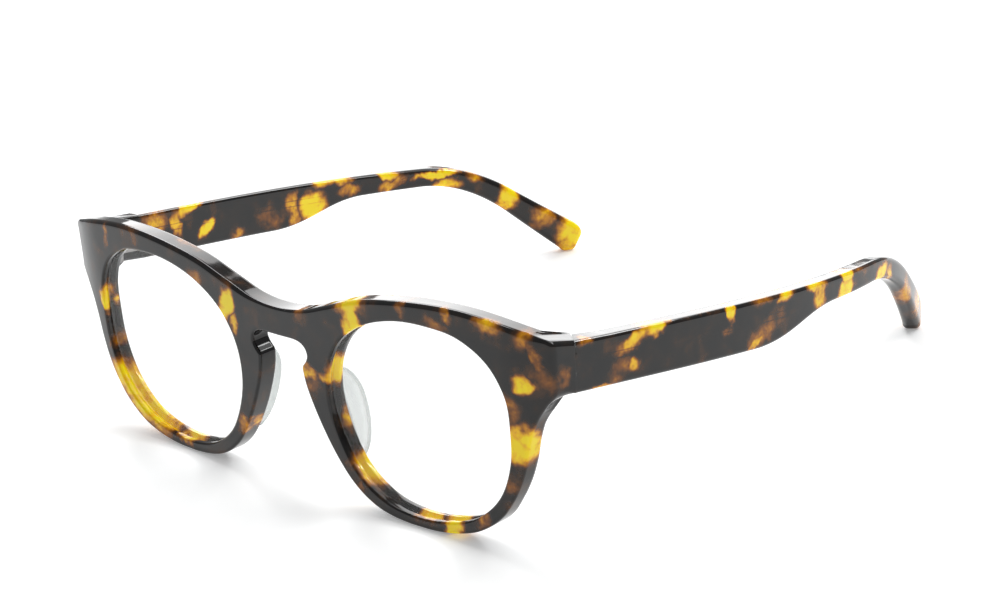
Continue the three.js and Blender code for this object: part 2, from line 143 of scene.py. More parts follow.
def closed_spline(points, steps):
    """A closed centripetal Catmull-Rom curve through the points."""
    p = np.array(points, float)
    out = []
    for i in range(len(p)):
        a, b, c, d = (p[(i + k) % len(p)] for k in (-1, 0, 1, 2))
        r, s, q = (math.sqrt(np.linalg.norm(n - m)) for m, n in ((a, b), (b, c), (c, d)))
        v = ((b - a) / r - (c - a) / (r + s) + (c - b) / s) * s
        w = ((c - b) / s - (d - b) / (s + q) + (d - c) / q) * s
        out += [hermite(b, c, v, w, t) for t in np.arange(steps) / steps]
    return np.array(out)


def quadratic(a, b, c, count):
    """A Bezier curve from a to c that b pulls on."""
    a, b, c = (np.array(p, float) for p in (a, b, c))
    t = np.linspace(0, 1, count + 1)[:, None]
    return a * (1 - t) ** 2 + 2 * b * t * (1 - t) + c * t**2


def cubic(a, b, c, d, count):
    """A Bezier curve from a to d that b and c pull on."""
    a, b, c, d = (np.array(p, float) for p in (a, b, c, d))
    t = np.linspace(0, 1, count + 1)[:, None]
    return a * (1 - t) ** 3 + 3 * b * t * (1 - t) ** 2 + 3 * c * t**2 * (1 - t) + d * t**3


def resample(points, spacing, closed=False):
    """The same line with evenly spaced points."""
    p = np.vstack([points, points[:1]]) if closed else np.asarray(points)
    step = np.linalg.norm(np.diff(p, axis=0), axis=1)
    p = p[np.concatenate([[True], step > 1e-6])]
    run = np.concatenate([[0], np.cumsum(np.linalg.norm(np.diff(p, axis=0), axis=1))])
    count = max(2, round(run[-1] / spacing))
    at = np.linspace(0, run[-1], count + 1)
    if closed:
        at = at[:-1]
    return np.stack([np.interp(at, run, p[:, k]) for k in range(p.shape[1])], axis=1)


def normals(loop, rounds=2):
    """Outward unit normals of a closed flat loop, averaged over the neighbours in rounds."""
    tangent = np.roll(loop, -1, 0) - np.roll(loop, 1, 0)
    n = np.stack([tangent[:, 1], -tangent[:, 0]], axis=1)
    area = np.sum(loop[:, 0] * np.roll(loop[:, 1], -1) - np.roll(loop[:, 0], -1) * loop[:, 1])
    n *= np.sign(area) / np.linalg.norm(n, axis=1)[:, None]
    for _ in range(rounds):
        n = np.roll(n, 1, 0) + 2 * n + np.roll(n, -1, 0)
        n /= np.linalg.norm(n, axis=1)[:, None]
    return n


def inside(points, loop):
    """Which points lie inside the closed flat loop."""
    x, y = points[:, 0][:, None], points[:, 1][:, None]
    x0, y0 = loop[:, 0][None], loop[:, 1][None]
    x1, y1 = np.roll(x0, -1, 1), np.roll(y0, -1, 1)
    rise = np.where(y1 == y0, 1e-12, y1 - y0)
    crossing = ((y0 > y) != (y1 > y)) & (x < x0 + (y - y0) / rise * (x1 - x0))
    return crossing.sum(1) % 2 == 1


# ------------------------------------------------------------------ mesh building


class Shell:
    """Collects rings and caps of one closed surface."""

    def __init__(self):
        self.points, self.faces = [], []

    def add(self, points):
        start = len(self.points)
        self.points.extend(map(tuple, points))
        return np.arange(start, len(self.points))

    def bridge(self, a, b):
        for i in range(len(a)):
            j = (i + 1) % len(a)
            self.faces.append((a[i], a[j], b[j], b[i]))

    def rings(self, rings):
        """Joins closed rings in turn, and gives the indices of the first and the last one."""
        ids = [self.add(r) for r in rings]
        for a, b in zip(ids, ids[1:]):
            self.bridge(a, b)
        return ids[0], ids[-1]

    def cap(self, outer, holes, flat, spacing, lift, extra=()):
        """Fills the region between loops with triangles. flat gives each loop's points in the
        plane, lift turns new points in the plane into space, and extra holds lines of points
        that the triangles follow."""
        loops = [outer, *holes]
        plane = np.vstack(flat)
        ids = list(np.concatenate(loops))
        edges, start = [], 0
        for loop in loops:
            n = len(loop)
            edges += [(start + i, start + (i + 1) % n) for i in range(n)]
            start += n
        low, high = plane.min(0), plane.max(0)
        gx, gy = np.meshgrid(*(np.arange(low[k], high[k], spacing) for k in (0, 1)))
        gx[1::2] += spacing / 2
        grid = np.stack([gx.ravel(), gy.ravel()], axis=1)
        inner = inside(grid, flat[0])
        for hole in flat[1:]:
            inner &= ~inside(grid, hole)
        near = np.array([np.min(np.sum((plane - g) ** 2, axis=1)) for g in grid])
        grid = grid[inner & (near > (0.55 * spacing) ** 2)]
        for line in extra:
            if len(grid):
                gap = np.min(np.abs(grid[:, None] - line[None]).sum(2), axis=1)
                grid = grid[gap > 0.5 * spacing]
        fresh = np.vstack([grid, *extra]) if extra else grid
        at = len(plane) + len(grid)
        for line in extra:
            edges += [(at + i, at + i + 1) for i in range(len(line) - 1)]
            at += len(line)
        ids += list(self.add(lift(fresh)))
        whole = np.vstack([plane, fresh])
        made = delaunay_2d_cdt([Vector(p) for p in whole], edges, [], 0, 1e-5)
        source = [o[0] if o else None for o in made[3]]
        corners = np.array([[made[0][v] for v in f] for f in made[2]])
        u, w = corners[:, 1] - corners[:, 0], corners[:, 2] - corners[:, 0]
        centres = corners.mean(axis=1)
        keep = np.abs(u[:, 0] * w[:, 1] - u[:, 1] * w[:, 0]) > SLIVER
        keep &= inside(centres, flat[0])
        for hole in flat[1:]:
            keep &= ~inside(centres, hole)
        for ok, f in zip(keep, made[2]):
            if ok and all(source[v] is not None for v in f):
                self.faces.append(tuple(ids[source[v]] for v in f))

    def piece(self, name, sharp, mirror=False):
        """The finished object, in the frame's metres."""
        p = np.array(self.points)
        across = -p[:, 0] if mirror else p[:, 0]
        p = np.stack([across, p[:, 1] + FRONT_Y, p[:, 2]], axis=1) / MM_PER_M
        mesh = bpy.data.meshes.new(name)
        bm = bmesh.new()
        made = [bm.verts.new(v) for v in p]
        for f in self.faces:
            if len(set(f)) == len(f):
                bm.faces.new([made[i] for i in f])
        bmesh.ops.remove_doubles(bm, verts=bm.verts, dist=WELD)
        bmesh.ops.recalc_face_normals(bm, faces=bm.faces)
        bm.to_mesh(mesh)
        bm.free()
        obj = bpy.data.objects.new(name, mesh)
        bpy.context.scene.collection.objects.link(obj)
        mesh.shade_smooth()
        mesh.set_sharp_from_angle(angle=math.radians(sharp))
        return obj


# ------------------------------------------------------------------ the front


def face_form(x):
    """How far the front's faces lie behind their middle."""
    x = np.abs(x)
    sweep = END_SWEEP * np.maximum(0, x - END_SWEEP_START) ** 2
    return x**2 / FORM_DIVISOR + FORM_QUARTIC * x**4 + sweep


def on_front(p, y):
    """Points of a flat outline in x and z, set at the depths y."""
    return np.stack([p[:, 0], y, p[:, 1]], axis=1)


def joint_y(p):
    """Where the end piece stops: its back slopes towards the inside like a mitre."""
    inwards = TEMPLE_OUTER - np.abs(p[:, 0])
    tilt = (p[:, 1] - AXIS_Z) * math.tan(JOINT_TILT)
    return JOINT_DEPTH - JOINT_GAP + tilt + inwards * JOINT_MITRE


def half_outline():
    """Half of the outline, from the top of the bridge round to the middle of the keyhole."""
    # the mirrored first point keeps the middle of the bridge smooth
    steps = 17
    brow = spline([(-BROW[1][0], BROW[1][1]), *BROW], steps * len(BROW))[steps:]
    upper, lower = quadratic(*END_PIECE_TOP, 8), quadratic(*END_PIECE_BOTTOM, 8)
    rest = [spline(OUTER_SWEEP, 90), spline(NASAL_SWEEP, 90), spline(KEYHOLE, 60)]
    return resample(np.vstack([brow, upper, lower, *rest]), OUTLINE_STEP)


def block_target(half):
    """Where each outline point ends at the back, and which of them belong to the end piece,
    which narrows to the temple's section there."""
    brow_above, brow_fall = 43.5, 0.25  # the brow's back edge lies a little lower
    block_x, block_z, block_end_z = 66.9, 29, 29.6
    top_until_x, bottom_below_z = 70.1, 33.2  # which side of the section a point ends on
    corner, margin = 0.85, 0.05
    top, bottom = TEMPLE_TOP, TEMPLE_TOP - TEMPLE_HEIGHT
    x, z = half[:, 0], half[:, 1] + DATUM_Z
    target = np.stack([x, z], axis=1)
    target[:, 1] -= np.where(z > brow_above, brow_fall * smooth(34, 50, x), 0)
    zone = np.where((x > block_x) & (z > block_z))[0]
    zone = zone[: np.argmax(z[zone] < block_end_z) or len(zone)]
    edge = TEMPLE_OUTER - corner
    rim = [
        np.array([(BLOCK_INNER + margin, top), (edge, top)]),
        np.vstack([
            quadratic((edge, top), (TEMPLE_OUTER, top), (TEMPLE_OUTER, top - corner), 8),
            quadratic((TEMPLE_OUTER, bottom + corner), (TEMPLE_OUTER, bottom), (edge, bottom), 8),
        ]),
        np.array([(edge, bottom), (BLOCK_INNER + margin, bottom)]),
    ]
    part = np.where(x[zone] < top_until_x, 0, 1)
    part[z[zone] < bottom_below_z] = 2
    for k, line in enumerate(rim):
        own = zone[part == k]
        run = np.concatenate([[0], np.cumsum(np.linalg.norm(np.diff(half[own], axis=0), axis=1))])
        along = np.concatenate([[0], np.cumsum(np.linalg.norm(np.diff(line, axis=0), axis=1))])
        at = run / run[-1] * along[-1]
        for axis in (0, 1):
            target[own, axis] = np.interp(at, along, line[:, axis])
    is_block = np.zeros(len(half), bool)
    is_block[zone] = True
    return target, is_block


def eye_loop(grow):
    """The left lens opening's outline, grown outwards."""
    loop = closed_spline(EYE, EYE_STEPS)
    loop = loop + normals(loop) * grow
    return loop + [0, DATUM_Z]


def eye_profile():
    """The section of a lens opening: growth and depth from its front edge to its back."""
    turns = np.linspace(0, QUARTER, 5)
    lip, groove = 0.06, 0.15  # the groove's bevelled lips, and half the width of its bottom
    front = [(EYE_ROUND * (1 - math.sin(a)), EYE_ROUND * (1 - math.cos(a))) for a in turns]
    back = [
        (EYE_ROUND * (1 - math.cos(a)), FRONT_THICKNESS - EYE_ROUND * (1 - math.sin(a)))
        for a in turns
    ]
    return [
        (EYE_ROUND + EDGE_HOLD, 0), *front,
        (0, GROOVE_FRONT), (lip, 1.2),
        (GROOVE_DEPTH, LENS_DEPTH - groove), (GROOVE_DEPTH, LENS_DEPTH + groove),
        (lip, 3.3), (0, GROOVE_BACK),
        *back, (EYE_ROUND + EDGE_HOLD, FRONT_THICKNESS),
    ]


def front_shell():
    half = half_outline()
    target, is_block = block_target(half)
    loop = half + [0, DATUM_Z]
    loop, target = (np.vstack([p, (p[::-1] * [-1, 1])[1:-1]]) for p in (loop, target))
    is_block = np.concatenate([is_block, is_block[::-1][1:-1]])
    n_front, n_back = normals(loop), normals(target)
    # the edges' radii: larger along the brow and the sides, and swept off behind the lower rims
    x, z = np.abs(loop[:, 0]), loop[:, 1]
    side = smooth(70.2, 70.9, x) * smooth(33.5, 35.5, z) * (1 - smooth(41.8, 43.6, z))
    brow = smooth(36, 39, z) * smooth(3, 14, x) * (1 - smooth(66, 70, x))
    sweep = smooth(50, 56, x) * (1 - smooth(26, 30, z)) * smooth(5, 11, z)
    r_front = 0.55 + 0.35 * side + 0.4 * brow + 0.1 * smooth(60, 68, x)
    r_back = np.where(is_block, 0.01, 0.7 + 0.9 * sweep)
    back = np.where(is_block, joint_y(target), FRONT_THICKNESS + face_form(target[:, 0]))

    rings = []
    turns = np.linspace(0, QUARTER, 6)
    for turn, hold in [(0, EDGE_HOLD), *((t, 0) for t in turns)]:
        inset = r_front * (1 - math.sin(turn)) + hold
        depth = r_front * (1 - math.cos(turn))
        p = loop - n_front * inset[:, None]
        rings.append(on_front(p, depth + face_form(p[:, 0])))
    front_flat = rings[0][:, [0, 2]]
    start, end = r_front + face_form(loop[:, 0]), back - r_back
    for t in (0.05, 0.35, 0.65, 0.95):
        rings.append(on_front(loop + (target - loop) * t, start + (end - start) * t))
    for turn, hold in [*((t, 0) for t in turns), (QUARTER, EDGE_HOLD)]:
        inset = r_back * (1 - math.cos(turn)) + hold
        p = target - n_back * inset[:, None]
        y = np.where(is_block, joint_y(p) if hold else back, FRONT_THICKNESS + face_form(p[:, 0]))
        rings.append(on_front(p, y - r_back * (1 - math.sin(turn))))
    back_flat = rings[-1][:, [0, 2]]

    shell = Shell()
    outer_front, outer_back = shell.rings(rings)
    eye_front, eye_back, flat_front, flat_back = [], [], [], []
    for sign in (1, -1):
        eye_rings = []
        for grow, depth in eye_profile():
            p = eye_loop(grow) * [sign, 1]
            eye_rings.append(on_front(p, depth + face_form(p[:, 0])))
        first, final = shell.rings(eye_rings)
        eye_front.append(first)
        eye_back.append(final)
        flat_front.append(eye_rings[0][:, [0, 2]])
        flat_back.append(eye_rings[-1][:, [0, 2]])
    shell.cap(outer_front, eye_front, [front_flat, *flat_front], FACE_GRID,
              lambda p: on_front(p, face_form(p[:, 0])))

    def lift_back(p):
        block = np.abs(p[:, 0]) > BLOCK_INNER
        return on_front(p, np.where(block, joint_y(p), FRONT_THICKNESS + face_form(p[:, 0])))

    # two close lines of points make the step from the rim's back to the end piece
    heights = np.arange(32.9, 41.8, 0.8)
    steps = [
        np.stack([np.full(len(heights), s * (BLOCK_INNER + d)), heights], axis=1)
        for s in (1, -1) for d in (-0.05, 0.1)
    ]
    shell.cap(outer_back, eye_back, [back_flat, *flat_back], FACE_GRID, lift_back, steps)
    return shell


# ------------------------------------------------------------------ temples


def top_line(y):
    """The height of the temple's straight top edge."""
    return TEMPLE_TOP - TEMPLE_SLOPE * (y - JOINT_DEPTH)


def plan(y):
    """The outer face's x seen from above, and its slope."""
    past = np.maximum(0, y - BEND_START)
    x = TEMPLE_OUTER + TEMPLE_SPLAY * (y - JOINT_DEPTH) - BEND_SQUARE * past**2
    x = x - BEND_CUBE * past**3
    return x, TEMPLE_SPLAY - BEND_SQUARE_SLOPE * past - BEND_CUBE_SLOPE * past**2


def bend(p):
    """From temple space, whose x is the offset from the outer face, to part space."""
    x, slope = plan(p[:, 1])
    length = np.hypot(1, slope)
    return np.stack([x + p[:, 0] / length, p[:, 1] - p[:, 0] * slope / length, p[:, 2]], axis=1)


def temple_outline():
    """Side view of the temple from the top of the butt round to its bottom, in y and z."""
    start = JOINT_DEPTH + JOINT_GAP
    top_start, top_end = (start, top_line(start)), (STRAIGHT_END, top_line(STRAIGHT_END))
    crown = (115.5, top_line(115.5))
    narrowing_start = (60, top_line(60) - TEMPLE_HEIGHT)
    parts = [
        np.array([top_start, top_end]),
        quadratic(top_end, crown, (125, 19.2), 30),  # down behind the ear
        quadratic((139.2, 7.4), (141.9, 5.2), (141, 3.4), 10),  # the tip's back corner
        quadratic((139.7, 0.9), (139.2, 0), (138.5, 0), 6),  # where it rests
        quadratic((137.1, 0), (136.5, 0), (135.8, 1.2), 6),
        quadratic((124, 13.3), (114.5, 22.6), (STRAIGHT_END, 24.3), 30),
        cubic((86, 26.4), (76, 27.5), (71, 23.9), narrowing_start, 40),
        np.array([(start, top_line(start) - TEMPLE_HEIGHT)]),
    ]
    return resample(np.vstack(parts), TEMPLE_STEP)


def lean(p):
    """Leans the temple's front end back to the mitred joint, fading out along the temple."""
    fade = np.clip(1 - (p[:, 1] - JOINT_DEPTH - JOINT_GAP) / JOINT_FADE, 0, 1)
    shift = (p[:, 2] - AXIS_Z) * math.tan(JOINT_TILT) - p[:, 0] * JOINT_MITRE
    return np.stack([p[:, 0], p[:, 1] + shift * fade, p[:, 2]], axis=1)


def temple_shell():
    rim = temple_outline()
    size = len(rim)
    front_y = rim[0, 0]
    heights = np.linspace(rim[-1, 1], rim[0, 1], BUTT_POINTS)[1:-1]
    loop = np.vstack([rim, np.stack([np.full(len(heights), front_y), heights], axis=1)])
    n = normals(loop)
    n[0] = n[1] = n[2]
    n[size - 1] = n[size - 2] = n[size - 3]
    radius = 0.85 + 0.45 * smooth(95, 125, loop[:, 0])  # rounder towards the tip

    def ring(turn, outer, hold=0.0, deeper=0.0):
        inset = radius * (1 - math.cos(turn)) + hold
        p = loop - n * inset[:, None]
        # the front end stays flat however far the ring is inset
        p[:size, 0] = np.maximum(p[:size, 0], front_y)
        p[0, 0] = p[size - 1, 0] = front_y
        share = np.linspace(0, 1, BUTT_POINTS)[1:-1][:, None]
        p[size:] = p[size - 1] * (1 - share) + p[0] * share
        depth = radius * (1 - math.sin(turn)) + deeper
        x = -depth if outer else depth - TEMPLE_THICKNESS
        return np.stack([x, p[:, 0], p[:, 1]], axis=1)

    turns = np.linspace(QUARTER, 0, 6)
    rings = [ring(QUARTER, True, TEMPLE_HOLD), *(ring(t, True) for t in turns)]
    rings += [ring(0, outer, 0, TEMPLE_SIDE_HOLD) for outer in (True, False)]
    rings += [*(ring(t, False) for t in turns[::-1]), ring(QUARTER, False, TEMPLE_HOLD)]
    shell = Shell()
    first, last = shell.rings([bend(lean(r)) for r in rings])

    def lift(x):
        return lambda p: bend(lean(np.stack([np.full(len(p), x), p[:, 0], p[:, 1]], axis=1)))

    for ids, edge, x in ((first, rings[0], 0.0), (last, rings[-1], -TEMPLE_THICKNESS)):
        shell.cap(ids, [], [edge[:, 1:]], FACE_GRID, lift(x))
    return shell


# ------------------------------------------------------------------ lenses and pads


def lens_shell():
    shares = np.concatenate([np.linspace(0.06, 0.94, 16), [0.985, 1.0]])
    blunt = 0.12  # the bevel's edge is flat for this much on both sides of its middle
    rim = eye_loop(-0.3)
    centre = np.array([EYE_CENTRE, DATUM_Z])

    def at(p, depth):
        return on_front(p, LENS_DEPTH + depth + face_form(p[:, 0]))

    def face(depth, order):
        return [at(centre + (rim - centre) * s, depth - LENS_DOME * (1 - s * s)) for s in order]

    edge = [at(eye_loop(LENS_BEVEL - blunt), d) for d in (-blunt, blunt)]
    shell = Shell()
    first, last = shell.rings([*face(-LENS_HALF, shares), *edge, *face(LENS_HALF, shares[::-1])])
    for ids, depth in ((first, -LENS_HALF), (last, LENS_HALF)):
        middle = shell.add(at(centre[None], depth - LENS_DOME))[0]
        for i in range(len(ids)):
            shell.faces.append((ids[i], ids[(i + 1) % len(ids)], middle))
    return shell


def pad_shell():
    """A nose pad: its side view stands out from the back of the nasal rim."""
    a, d = PAD_LENGTH, PAD_DEPTH
    side = np.vstack([
        cubic((0, 0), (0.6, d * 0.72), (PAD_PEAK * 0.6, d), (PAD_PEAK, d), 30),
        cubic((PAD_PEAK, d), (a * 0.76, d), (a, d * 0.5), (a, 0), 30),
    ])
    loop = resample(side, PAD_STEP, closed=True)
    n = normals(loop, 4)
    along = np.array([math.sin(PAD_SPLAY), 0, -math.cos(PAD_SPLAY)])
    back = np.array([0.0, 1, 0])
    across = np.cross(along, back)
    back = back * math.cos(PAD_FLARE) + across * math.sin(PAD_FLARE)
    across = np.cross(along, back)
    base = face_form(PAD_TOP[0]) + FRONT_THICKNESS - PAD_SINK
    origin = np.array([PAD_TOP[0], base, PAD_TOP[1] + DATUM_Z])
    glued = FRONT_THICKNESS + PAD_GLUE

    def place(p, h):
        q = origin + p[:, :1] * along + p[:, 1:] * back + np.reshape(h, (-1, 1)) * across
        q[:, 1] = np.maximum(q[:, 1], glued + face_form(q[:, 0]))
        return q

    def ring(turn, h, sign):
        p = loop - n * (PAD_ROUND * (1 - math.cos(turn)))
        return p, place(p, np.full(len(p), h + sign * PAD_ROUND * (1 - math.sin(turn))))

    turns = np.linspace(QUARTER, 0, 7)
    pairs = [ring(t, 0, 1) for t in turns] + [ring(t, PAD_THICKNESS, -1) for t in turns[::-1]]
    shell = Shell()
    first, last = shell.rings([r for _, r in pairs])
    for ids, flat, h in ((first, pairs[0][0], 0), (last, pairs[-1][0], PAD_THICKNESS)):
        shell.cap(ids, [], [flat], PAD_GRID, lambda p, h=h: place(p, np.full(len(p), h)))
    return shell


# ------------------------------------------------------------------ materials

# Patches of the tortoiseshell: centre and radii in part mm, turn in degrees and strength.
# The strength sets how far the colour runs from brown through orange and amber to yellow.
BROWN, ORANGE, AMBER, YELLOW = 0.30, 0.48, 0.7, 1.1
FRONT_PATCHES = [
    ((21.4, 1, 44.2), (4.0, 4, 3.0), 0, YELLOW),
    ((22.2, 1, 39.6), (2.4, 4, 4.2), 0, YELLOW),
    ((37.0, 0, 46.4), (1.2, 3, 2.4), 0, ORANGE),
    ((48.2, 0, 46.2), (1.1, 3, 2.4), 20, AMBER),
    ((44.8, 0, 43.2), (4.2, 3, 1.6), -15, BROWN),
    ((58.0, 1, 46.0), (3.2, 3, 1.9), -10, AMBER),
    ((66.0, 4, 43.6), (1.9, 3, 2.2), 0, ORANGE),
    ((68.2, 4, 40.6), (0.9, 3, 2.4), 20, ORANGE),
    ((65.0, 3, 35.4), (1.7, 3, 2.0), 20, YELLOW),
    ((67.6, 4, 36.0), (4.0, 4, 3.6), 0, BROWN),
    ((70.8, 8, 37.0), (1.5, 1.5, 2.6), 0, ORANGE),
    ((61.6, 3, 29.4), (1.9, 4, 3.6), 0, BROWN),
    ((63.4, 3, 23.0), (4.6, 5, 3.6), 5, YELLOW),
    ((60.4, 2, 15.6), (2.6, 4, 2.6), 0, BROWN),
    ((66.0, 4, 17.5), (2.0, 4, 2.0), 0, ORANGE),
    ((44.8, 1.5, 2.0), (2.4, 4, 3.4), 0, YELLOW),
    ((53.0, 1, 5.2), (1.6, 3, 1.8), -30, ORANGE),
    ((7.6, 1, 26.8), (2.6, 4, 2.0), -25, AMBER),
    ((9.4, 1, 23.8), (2.4, 4, 2.4), 0, BROWN),
    ((13.0, 1.8, 26.6), (3.4, 3, 1.3), 5, AMBER),
    ((14.6, 3, 27.4), (1.8, 2.6, 3.4), 0, YELLOW),
    ((15.4, 4, 20.0), (1.8, 1.8, 5.2), -15, AMBER),
    ((19.6, 4, 7.6), (4.2, 3.2, 3.2), -40, YELLOW),
    ((36.4, 4, 2.6), (2.6, 3.2, 2.2), 0, YELLOW),
    ((43.6, 4, 3.2), (3.0, 3.2, 2.2), 0, YELLOW),
    ((8.0, 0, 39.0), (2.4, 3, 2.2), 0, BROWN),
    ((30.0, 5, 46.0), (6.0, 2, 2.0), 10, BROWN),
    ((-15.6, 0, 36.4), (1.9, 3, 4.0), -28, YELLOW),
    ((-13.4, 0, 32.6), (1.2, 3, 2.4), 0, AMBER),
    ((-56.2, 1, 43.6), (0.9, 3, 2.9), -15, ORANGE),
    ((-48.0, 0, 45.2), (4.4, 3, 2.2), 10, BROWN),
    ((-25.0, 0, 39.0), (2.8, 3, 3.0), 30, BROWN),
    ((-60.4, 4, 28.0), (1.6, 2.6, 3.4), 0, YELLOW),
    ((-61.4, 4.5, 18.0), (1.5, 2.6, 2.2), 0, ORANGE),
    ((-51.5, 3.6, 7.4), (10.5, 4.2, 3.4), -33, YELLOW),
    ((-36.4, 3.6, 2.8), (3.4, 2.8, 2.2), 0, YELLOW),
    ((-12.0, 2, 10.4), (1.8, 3, 1.8), 30, AMBER),
    ((-15.0, 0, 10.2), (1.8, 2, 2.2), 0, ORANGE),
    ((-66.5, 3, 22.0), (1.6, 4, 3.0), 0, BROWN),
    ((-30.0, 5, 44.0), (5.0, 2, 3.0), 0, ORANGE),
    ((-62.0, 8, 40.0), (4.0, 3, 3.0), 0, AMBER),
]
LEFT_PATCHES = [
    ((72, 14.4, 41.4), (4, 2.4, 1.0), 0, ORANGE),
    ((72, 26.0, 37.9), (4, 4.2, 1.2), 14, AMBER),
    ((73, 33.0, 39.3), (4, 4.6, 1.3), 10, YELLOW),
    ((72, 22.6, 33.4), (4, 3.2, 1.9), 0, BROWN),
    ((72, 25.4, 33.2), (4, 1.3, 1.5), -30, AMBER),
    ((72, 17.0, 31.2), (4, 5.0, 0.9), -8, ORANGE),
    ((73, 43.4, 38.2), (4, 1.9, 0.9), -20, ORANGE),
    ((74, 52.0, 36.0), (4, 1.0, 2.5), 0, YELLOW),
    ((74, 50.6, 32.2), (4, 1.2, 1.0), 0, BROWN),
    ((74, 61.0, 28.2), (4, 5.6, 2.2), 25, ORANGE),
    ((74, 58.0, 26.6), (4, 2.6, 1.0), 25, AMBER),
    ((74, 62.5, 35.2), (4, 3.6, 1.6), -8, ORANGE),
    ((74, 69.4, 33.4), (4, 2.6, 1.5), 10, YELLOW),
    ((73, 66.0, 30.0), (4, 2.0, 2.4), 0, BROWN),
    ((73, 80.5, 31.0), (4, 2.6, 5.0), 5, AMBER),
    ((73, 79.0, 33.2), (4, 2.8, 1.4), 0, YELLOW),
    ((72, 91.5, 30.4), (4, 2.6, 2.6), -10, YELLOW),
    ((72, 90.0, 26.4), (4, 3.4, 2.2), 15, YELLOW),
    ((68, 107.0, 25.2), (4, 3.0, 1.6), 20, YELLOW),
    ((66, 111.0, 23.6), (4, 2.0, 2.0), 0, AMBER),
    ((56.5, 134.0, 9.0), (5, 3.6, 4.4), 0, AMBER),
    ((61.5, 124.0, 14.0), (5, 2.8, 4.4), 20, ORANGE),
    ((51, 138.5, 4), (5, 4, 5), 0, AMBER),
    ((70, 98.0, 28.6), (4, 5.0, 0.8), -8, BROWN),
]
RIGHT_PATCHES = [
    ((-68.5, 24.4, 38.4), (4, 4.0, 3.0), 0, AMBER),
    ((-68.5, 20.6, 37.2), (4, 3.0, 2.4), 0, ORANGE),
    ((-69, 35.0, 38.6), (4, 4.0, 1.3), 12, YELLOW),
    ((-69, 30.0, 36.0), (4, 1.2, 3.4), 0, AMBER),
    ((-69, 38.4, 32.4), (4, 2.3, 1.5), 35, YELLOW),
    ((-70, 47.4, 28.2), (4, 2.0, 1.0), 0, ORANGE),
    ((-70, 58.0, 29.0), (4, 3.6, 3.0), 0, BROWN),
    ((-70, 65.0, 28.4), (4, 1.5, 4.0), 0, AMBER),
    ((-70, 70.6, 28.2), (4, 3.2, 3.2), 20, YELLOW),
    ((-69, 78.0, 32.6), (4, 5.4, 1.5), -5, YELLOW),
    ((-69, 81.0, 29.0), (4, 3.4, 1.6), 0, ORANGE),
    ((-68, 91.5, 31.0), (4, 4.4, 1.6), -25, YELLOW),
    ((-67, 94.0, 27.4), (4, 3.4, 1.4), 15, AMBER),
    ((-64, 106.0, 26.6), (4, 6.0, 1.0), -8, YELLOW),
    ((-64, 108.0, 23.4), (4, 3.4, 1.6), 0, AMBER),
    ((-61, 115.0, 24.0), (4, 3.0, 1.4), -30, ORANGE),
    ((-58, 123.0, 17.6), (5, 2.6, 4.4), -35, YELLOW),
    ((-58, 121.0, 14.6), (5, 2.0, 2.4), 0, AMBER),
    ((-54.5, 131.0, 10.0), (5, 3.4, 3.2), 0, ORANGE),
    ((-50.5, 138.2, 4.4), (6, 4.8, 5.8), -30, YELLOW),
]


NOISE_LOW, NOISE_HIGH = 0.3, 0.7  # nearly all of a noise texture lies between these


class Nodes:
    """Short calls for building one material's node tree."""

    def __init__(self, name):
        self.material = bpy.data.materials.new(name)
        self.material.use_nodes = True
        self.tree = self.material.node_tree
        self.shader = self.tree.nodes["Principled BSDF"]
        self.object = self.node("ShaderNodeTexCoord").outputs["Object"]

    def node(self, kind, **settings):
        made = self.tree.nodes.new(kind)
        for key, value in settings.items():
            setattr(made, key, value)
        return made

    def link(self, source, target):
        self.tree.links.new(source, target)

    def math(self, operation, *values):
        made = self.node("ShaderNodeMath", operation=operation)
        for i, value in enumerate(values):
            self.feed(made.inputs[i], value)
        return made.outputs[0]

    def vector(self, operation, *values):
        made = self.node("ShaderNodeVectorMath", operation=operation)
        for i, value in enumerate(values):
            self.feed(made.inputs[i], value)
        return made.outputs["Value" if operation == "LENGTH" else "Vector"]

    def feed(self, socket, value):
        """Links another node's output, or sets a constant on the socket itself."""
        if isinstance(value, bpy.types.NodeSocket):
            self.link(value, socket)
        else:
            socket.default_value = value

    def noise(self, scale, detail, vector=None, colour=False, rough=0.5):
        made = self.node("ShaderNodeTexNoise")
        made.inputs["Scale"].default_value = scale
        made.inputs["Detail"].default_value = detail
        made.inputs["Roughness"].default_value = rough
        self.link(vector or self.object, made.inputs["Vector"])
        return made.outputs["Color" if colour else "Fac"]

    def remap(self, value, low, high, to_low, to_high, kind="LINEAR"):
        made = self.node("ShaderNodeMapRange", interpolation_type=kind)
        self.link(value, made.inputs["Value"])
        limits = {"From Min": low, "From Max": high, "To Min": to_low, "To Max": to_high}
        for key, number in limits.items():
            made.inputs[key].default_value = number
        return made.outputs["Result"]

    def ramp(self, value, stops):
        made = self.node("ShaderNodeValToRGB")
        colours = made.color_ramp
        while len(colours.elements) < len(stops):
            colours.elements.new(0.5)
        for element, (at, colour) in zip(colours.elements, stops):
            element.position = at
            element.color = (*colour, 1)
        self.link(value, made.inputs["Fac"])
        return made.outputs["Color"]

    def bump(self, height, strength, distance):
        made = self.node("ShaderNodeBump")
        made.inputs["Strength"].default_value = strength
        made.inputs["Distance"].default_value = distance
        self.link(height, made.inputs["Height"])
        self.link(made.outputs["Normal"], self.shader.inputs["Normal"])

    def set(self, **values):
        for key, value in values.items():
            self.feed(self.shader.inputs[key.replace("_", " ")], value)


